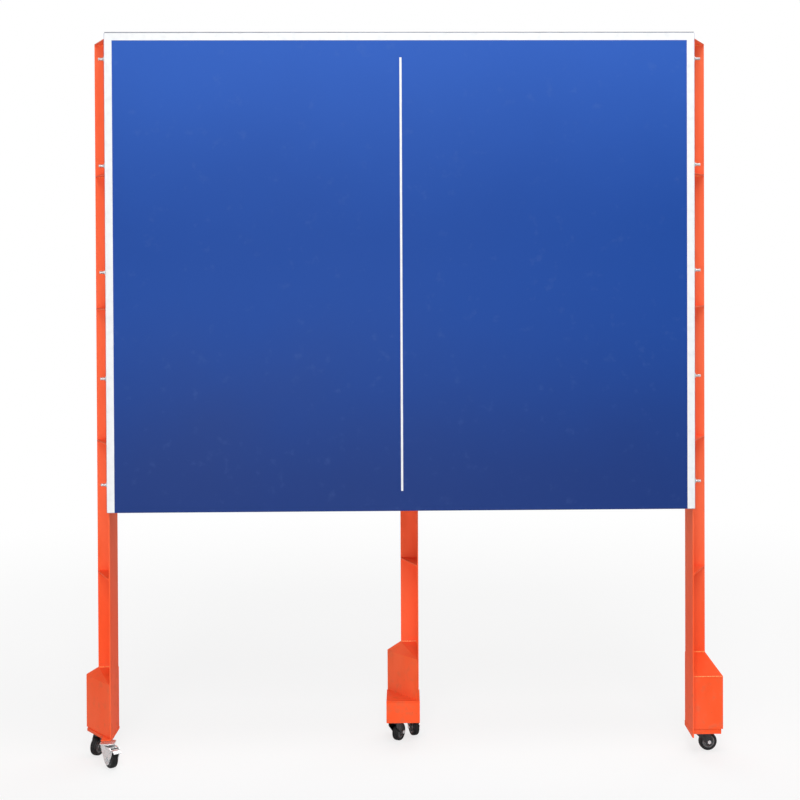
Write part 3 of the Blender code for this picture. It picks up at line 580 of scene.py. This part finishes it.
def nut(matrix):
    """A six-sided nut with both faces chamfered round a plain bore."""
    shape = bmesh.new()
    made = bmesh.ops.create_cone(shape, cap_ends=False, segments=6, radius1=NUT_CORNER, radius2=NUT_CORNER,
                                 depth=NUT_HEIGHT)
    bmesh.ops.translate(shape, verts=made["verts"], vec=(0, 0, NUT_HEIGHT / 2))
    for level in (0, NUT_HEIGHT):
        rim = [edge for edge in shape.edges
               if all(abs(vert.co.z - level) < SAME_LEVEL for vert in edge.verts)]
        grown = bmesh.ops.extrude_edge_only(shape, edges=rim)["geom"]
        inner = [item for item in grown if isinstance(item, bmesh.types.BMVert)]
        bmesh.ops.scale(shape, verts=inner, vec=(NUT_BORE / NUT_CORNER, NUT_BORE / NUT_CORNER, 1))
    bmesh.ops.bridge_loops(shape, edges=[edge for edge in shape.edges if edge.is_boundary])
    corners = [edge for edge in shape.edges
               if all(vert.co.xy.length > NUT_CORNER * NUT_RIM for vert in edge.verts)]
    bmesh.ops.bevel(shape, geom=corners, offset=NUT_CHAMFER, segments=2, profile=0.5,
                    affect="EDGES", material=-1)
    bmesh.ops.recalc_face_normals(shape, faces=shape.faces)
    bmesh.ops.transform(shape, matrix=matrix, verts=shape.verts)
    return shape


def thread(matrix):
    """A threaded length: one groove a pitch, with a blunt point."""
    profile = [(AXIS_END, 0), (BOLT_RADIUS * THREAD_ROOT, 0)]
    for turn in range(int(THREAD_LENGTH / THREAD_PITCH)):
        profile += [(BOLT_RADIUS * reach, (turn + rise) * THREAD_PITCH) for reach, rise in THREAD_FLANKS]
    profile += [(BOLT_RADIUS * THREAD_TIP, THREAD_LENGTH), (AXIS_END, THREAD_LENGTH + THREAD_POINT)]
    return turned(profile, THREAD_STEPS, matrix)


for name in ("left", "right"):
    way = WINGS[name][0]
    outward = Vector((way, 0, 0))
    for number in range(1, BOLTS_A_POST + 1):
        node = f"{name}_side_bolt_{number}"
        low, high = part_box(node)
        middle = (low + high) / 2
        seat = Vector((board_high.x * way, middle.y, middle.z)) + outward * WASHER_SEAT
        head = Vector((low.x if way > 0 else high.x, middle.y, middle.z))
        shank = abs(board_high.x * way - head.x) + SHANK_PAST_FACE
        head_and_shank = (*BOLT_HEAD, (BOLT_RADIUS * BOLT_SHANK, shank), (AXIS_END, shank))
        pieces = [
            turned(WASHER_PROFILE, WASHER_STEPS, aimed(seat, outward)),
            nut(aimed(seat + outward * WASHER, outward)),
            thread(aimed(seat + outward * WASHER / 2, outward)),
            turned(head_and_shank, HEAD_STEPS, aimed(head, outward)),
        ]
        shown(node + "_finished", together(pieces), bright_zinc, "frame", (node,))


# One hexagon bolt goes through each rail into the cleat of the third post, which so hangs from
# both rails. It is the same bright zinc.
for node in ("upper_rail_bolt", "lower_rail_bolt"):
    eased(node, bright_zinc, width=0.0004, segments=2)


# The rails are welded to the backs of the side posts' wings, along their upper and lower edges,
# with the same black coat over the beads.
RAIL_BEAD_RADIUS = 0.0018
RAIL_BEAD_START = 0.001
rail_beads = []
for rail in ("upper_rail", "lower_rail"):
    low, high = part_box(rail)
    seam_y = low.y + BEAD_SUNK
    for way in (-1, 1):
        start_x, end_x = way * (board_high.x + RAIL_BEAD_START), way * high.x
        for z in (low.z, high.z):
            rail_beads.append(bead((start_x, seam_y, z), (end_x, seam_y, z), RAIL_BEAD_RADIUS))
shown("rail_weld_beads", together(rail_beads), tube_material, "frame")


# Each foot is closed by a folded cover with a sloped top and a back plate, both welded on, over a
# tray or band that the casters bolt to. The same orange coat covers all of them.
for node in ("left_foot_cover", "right_foot_cover", "centre_foot_cover", "left_foot_back",
             "right_foot_back", "centre_foot_back", "left_foot_tray", "right_foot_tray", "centre_foot_band"):
    eased(node, orange_material, width=0.0009, segments=3)


# The covers are welded across the wing at the crest of the slope and down the flange, and the right
# one, folded square, along the crease of its slope too.
# These beads carry the welds' painted highlight.
CREST_FROM_FLANGE = 0.003
CREST_FROM_EDGE = 0.001
SLOPE_SUNK = 0.0008
SLOPE_FROM_CORNER = 0.004
SLOPE_DROP = 0.044
SLOPE_BEAD = 0.8
CREASE_Z = 0.205
CREASE_SUNK = 0.0002
CREASE_FROM_END = 0.002
CREASE_BEAD = 0.6
for name in WINGS:
    way, wing_edge, flange = post_lines(name)
    low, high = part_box(name + "_post")
    cover_low, cover_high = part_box(name + "_foot_cover")
    back, crest = high.y - SHEET - BEAD_SUNK, cover_high.z
    front = low.y if name == "centre" else cover_low.y
    slope_x = flange + way * SLOPE_SUNK
    crest_start, crest_end = flange + way * CREST_FROM_FLANGE, wing_edge - way * CREST_FROM_EDGE
    foot_beads = [
        bead((crest_start, back, crest), (crest_end, back, crest), BEAD_RADIUS),
        bead((slope_x, back - SLOPE_FROM_CORNER, crest),
             (slope_x, front + SLOPE_FROM_CORNER, crest - SLOPE_DROP), BEAD_RADIUS * SLOPE_BEAD),
    ]
    if name == "right":
        crease_y = cover_low.y - CREASE_SUNK
        crease_start, crease_end = flange + way * CREASE_FROM_END, cover_high.x - CREASE_FROM_END
        foot_beads.append(bead((crease_start, crease_y, CREASE_Z), (crease_end, crease_y, CREASE_Z),
                               BEAD_RADIUS * CREASE_BEAD))
    shown(name + "_foot_weld_beads", together(foot_beads), bead_material, "frame")


# Each caster hangs from a pressed steel plate, with a pressed fork below it and a bright axle. The
# braked one in front is bright zinc. The others have a dark plating whose darkness is partly painted shade:
# the shade they stand in under the trays.
DARK_PLATING_AND_SHADE = (0.050, 0.051, 0.054)
CASTERS = ("left_front", "left_rear", "right", "centre_left", "centre_right")
# Partly painted shade: the four casters other than the front one are coloured dark for the shade under the
# trays.
dark_zinc_and_shade = zinc_plate("dark_caster_plating_and_shade", DARK_PLATING_AND_SHADE, worn_share=0.6)
caster_metals = {name: (bright_zinc, "zinc") if name == "left_front" else (dark_zinc_and_shade, "dark_tube")
                 for name in CASTERS}
joints = {joint["name"]: joint for joint in frame["record"]["behaviour"]["joints"]}
for name, (metal, slot) in caster_metals.items():
    eased(name + "_caster_plate", metal, width=0.0004, segments=2)
    eased(name + "_fork", metal, width=0.0005, segments=3)
    eased(name + "_axle", bright_zinc, width=0.0004, segments=2)


# The tyres are black rubber moulded on the hubs: square shoulders, a slight crown, and two fine
# grooves either side of the middle.
WHEEL_RADIUS = 0.024
HALF_WIDTH = 0.009
HUB_RADIUS = 0.0165
TYRE_BORE = HUB_RADIUS + 0.0002
TYRE_SIDE = ((TYRE_BORE, 0.80), (WHEEL_RADIUS - 0.0052, 0.97), (WHEEL_RADIUS - 0.0034, 0.985),
             (WHEEL_RADIUS - 0.0016, 0.90), (WHEEL_RADIUS - 0.0006, 0.72), (WHEEL_RADIUS - 0.0002, 0.52),
             (WHEEL_RADIUS - 0.0009, 0.47), (WHEEL_RADIUS - 0.0009, 0.43), (WHEEL_RADIUS - 0.0001, 0.38),
             (WHEEL_RADIUS, 0.15))
TYRE_STEPS = 64
RUBBER_BLACK = (0.006, 0.006, 0.007)
RUBBER_BLOOM = (0.026, 0.025, 0.023)
BLOOM_SHARE = 0.5
RUBBER_ROUGHNESS = 0.50
BLOOM_ROUGHER = 0.22


def rubber():
    black = Finish("black_tread_rubber", gloss=0.25)
    bloom = black.rise(black.noise(scale=70.0, detail=5.0), low=0.42, high=0.72)
    colour = black.colours(bloom * BLOOM_SHARE, RUBBER_BLACK, RUBBER_BLOOM)
    grit = black.noise(scale=1500.0, detail=2.0)
    return black.surface(colour, RUBBER_ROUGHNESS + bloom * BLOOM_ROUGHER, grit, depth=0.00015, strength=0.4)


def both_sides(side):
    """A wheel's whole profile from the (radius, share of the half width) points of one side."""
    return ([(radius, share * HALF_WIDTH) for radius, share in side]
            + [(radius, -share * HALF_WIDTH) for radius, share in reversed(side)])


def wheel_place(name):
    roll = joints[name + "_roll"]
    return aimed(Vector(roll["pos_m"]), Vector(roll["axis"]))


rubber_material = rubber()
for name in CASTERS:
    tyre = turned(both_sides(TYRE_SIDE), TYRE_STEPS, wheel_place(name))
    shown(name + "_tyre_finished", tyre, rubber_material, joints[name + "_roll"]["child"],
          (name + "_tyre",))


# The hubs are moulded grey nylon: a rim, a thin web with five raised spokes on both faces, and a
# boss round the axle.
AXLE_HOLE = 0.0033
HUB_SIDE = ((AXLE_HOLE, 0.98), (0.0062, 0.98), (0.0066, 0.92), (0.0072, 0.34), (0.0130, 0.30),
            (0.0136, 0.74), (0.0142, 0.80), (HUB_RADIUS - 0.0001, 0.78))
HUB_STEPS = 48
SPOKES = 5
SPOKE_SIZE = (0.0068, 0.0019, 0.0030)
SPOKE_CORNER = 0.0004
SPOKE_OUT = 0.0102
SPOKE_UP = 0.0042
HUB_GREY = (0.150, 0.152, 0.156)
HUB_GREY_WORN = (0.060, 0.060, 0.062)
HUB_WORN_SHARE = 0.5
HUB_ROUGHNESS = 0.38
MOTTLE_ROUGHER = 0.2


def hub_nylon():
    grey = Finish("grey_hub_nylon")
    mottled = grey.noise(scale=130.0, detail=4.0)
    worn = grey.rise(mottled, low=0.4, high=0.7)
    colour = grey.colours(worn * HUB_WORN_SHARE, HUB_GREY, HUB_GREY_WORN)
    return grey.surface(colour, HUB_ROUGHNESS + grey.sway(mottled, MOTTLE_ROUGHER), mottled)


def hub(matrix):
    solids = [turned(both_sides(HUB_SIDE), HUB_STEPS, matrix)]
    for face in (-1, 1):
        for spoke in range(SPOKES):
            shape = block(SPOKE_SIZE, SPOKE_CORNER)
            bmesh.ops.translate(shape, vec=(SPOKE_OUT, 0, face * SPOKE_UP), verts=shape.verts)
            turn = Matrix.Rotation(math.tau * spoke / SPOKES, 4, "Z")
            bmesh.ops.transform(shape, matrix=matrix @ turn, verts=shape.verts)
            solids.append(shape)
    return together(solids)


hub_material = hub_nylon()
for name in CASTERS:
    shown(name + "_hub_finished", hub(wheel_place(name)), hub_material, joints[name + "_roll"]["child"],
          (name + "_hub",))


# Four pan-headed screws hold each caster's plate to its tray or band from below. The front plate
# reaches its tray with two of them.
PLATE_SCREW_RADIUS = 0.0036
PLATE_SCREW_HEIGHT = 0.0022
PLATE_SCREW_SPREAD = 0.0145
PLATE_SHEET = 0.0025
for name in CASTERS:
    king = Vector(joints[name + "_swivel"]["pos_m"])
    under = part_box(name + "_caster_plate")[1].z - PLATE_SHEET
    rows = (1,) if name == "left_front" else (-1, 1)
    spots = [(king.x + column * PLATE_SCREW_SPREAD, king.y + row * PLATE_SCREW_SPREAD, under)
             for column in (-1, 1) for row in rows]
    heads = [screw_head(PLATE_SCREW_RADIUS, PLATE_SCREW_HEIGHT, aimed(spot, (0, 0, -1))) for spot in spots]
    shown(name + "_plate_screws", together(heads), bright_zinc, "frame")


# The ball race is a rolled steel ring between a caster's plate and the crown of its fork, in the
# same finish as both, with the painted shade of the dark ones included.
RACE_PROFILE = ((0.0088, 0.0003), (0.0138, 0.0003), (0.0150, 0.0011), (0.0146, 0.0022), (0.0130, 0.0030),
                (0.0088, 0.0030))
RACE_Z = 0.0561
RACE_STEPS = 40
for name, (metal, slot) in caster_metals.items():
    king = Vector(joints[name + "_swivel"]["pos_m"])
    race = turned(RACE_PROFILE, RACE_STEPS, aimed((king.x, king.y, RACE_Z), (0, 0, 1)))
    shown(name + "_ball_race", race, metal, "frame")


# The brake is a pressed pedal on a pin through the front caster's fork, tipped down by foot to
# press the tyre. Both are bright zinc.
for node in ("brake_pedal", "brake_pin"):
    eased(node, bright_zinc, width=0.0004, segments=2)


# The floor is a plain pale disc. Away from the object it fades to the white of the world behind it,
# for the camera alone, so no horizon shows and the object keeps its shadow.
FLOOR_WHITE = (0.94, 0.94, 0.94)
FLOOR_ROUGHNESS = 0.8
FLOOR_RADIUS = 30.0
FLOOR_SIDES = 96
FLOOR_DROP = 0.0002
WHITE_SHARE_NEAR = 0.74
FADE_NEAR = 1.3
FADE_FAR = 4.0


def pale_floor():
    pale = Finish("pale_floor")
    pale.surface(FLOOR_WHITE, FLOOR_ROUGHNESS)
    distance = pale.node("ShaderNodeVectorMath", {"operation": "LENGTH"}, {0: pale.place}, "Value")
    share = WHITE_SHARE_NEAR + pale.rise(distance, FADE_NEAR, FADE_FAR) * (1 - WHITE_SHARE_NEAR)
    camera_ray = pale.node("ShaderNodeLightPath", {}, {}, "Is Camera Ray")
    lit, glowing = Term(pale, pale.shader.outputs[0]), pale.node("ShaderNodeEmission", {}, {})
    blend = pale.node("ShaderNodeMixShader", {}, {0: camera_ray * share, 1: lit, 2: glowing})
    pale.fill(pale.tree.nodes["Material Output"].inputs["Surface"], blend)
    return pale.material


disc = bmesh.new()
bmesh.ops.create_circle(disc, cap_ends=True, segments=FLOOR_SIDES, radius=FLOOR_RADIUS)
bmesh.ops.translate(disc, verts=disc.verts, vec=(0, 0, -FLOOR_DROP))
floor_mesh = bpy.data.meshes.new("floor")
disc.to_mesh(floor_mesh)
disc.free()
floor_mesh.materials.append(pale_floor())
floor = bpy.data.objects.new("floor", floor_mesh)
bpy.context.scene.collection.objects.link(floor)


# Four large soft panels light the object: the key high in front, a low fill under the board, one
# behind it and one above. The world is plain white to the eye and in reflections, and lights weakly.
PANELS = {
    "key_panel": {"place": (0.0, -6.6, 6.2), "target": (0, 0, 0.9), "size": (3.2, 2.6), "watts": 232},
    "fill_panel": {"place": (-0.9, -5.4, 0.7), "target": (0, 0, 0.6), "size": (2.6, 1.2), "watts": 65},
    "back_panel": {"place": (0.5, 2.6, 4.6), "target": (0, 1.2, 0.0), "size": (4.0, 2.5), "watts": 66},
    "top_panel": {"place": (0.6, -1.2, 4.4), "target": (0.3, 0, 0.3), "size": (1.8, 1.4), "watts": 46},
}
WORLD_WHITE = (1.0, 1.0, 1.0, 1.0)
WORLD_LIGHT = 0.31
for name, panel in PANELS.items():
    lamp = bpy.data.lights.new(name, "AREA")
    lamp.shape = "RECTANGLE"
    lamp.size, lamp.size_y = panel["size"]
    lamp.energy = panel["watts"]
    stand = bpy.data.objects.new(name, lamp)
    facing = (Vector(panel["target"]) - Vector(panel["place"])).to_track_quat("-Z", "Y").to_matrix().to_4x4()
    stand.matrix_world = Matrix.Translation(panel["place"]) @ facing
    bpy.context.scene.collection.objects.link(stand)

world = bpy.data.worlds.new("studio")
world.use_nodes = True
bpy.context.scene.world = world
studio = Nodes(world.node_tree)
camera_ray, glossy_ray, passing_ray = (studio.node("ShaderNodeLightPath", {}, {}, ray) for ray in (
    "Is Camera Ray", "Is Glossy Ray", "Is Transmission Ray"))
seen = studio.maths("MAXIMUM", camera_ray, studio.maths("MAXIMUM", glossy_ray, passing_ray))
background = studio.tree.nodes["Background"]
studio.fill(background.inputs["Color"], WORLD_WHITE)
studio.fill(background.inputs["Strength"], WORLD_LIGHT + seen * (1 - WORLD_LIGHT))


# The camera stands where the photograph was taken from, nearly square to the board. Its downward
# shift keeps the posts upright in the picture, as they are in the photograph.
CAMERA_PLACE = (0.0114, -3.9878, 1.3037)
CAMERA_YAW = -0.0222
CAMERA_PITCH = -0.0125
CAMERA_ROLL = -0.0038
LENS = 67.32
SHIFT = (-0.0487, -0.1500)
camera_data = bpy.data.cameras.new("camera")
camera_data.lens = LENS
camera_data.shift_x, camera_data.shift_y = SHIFT
camera = bpy.data.objects.new("camera", camera_data)
camera.matrix_world = (
    Matrix.Translation(CAMERA_PLACE)
    @ Matrix.Rotation(CAMERA_YAW, 4, "Z") @ Matrix.Rotation(CAMERA_PITCH, 4, "X")
    @ Matrix.Rotation(-CAMERA_ROLL, 4, "Y") @ Matrix.Rotation(math.pi / 2, 4, "X")
)
bpy.context.scene.collection.objects.link(camera)
bpy.context.scene.camera = camera
bpy.context.scene.view_settings.view_transform = "Standard"

bpy.context.view_layer.update()
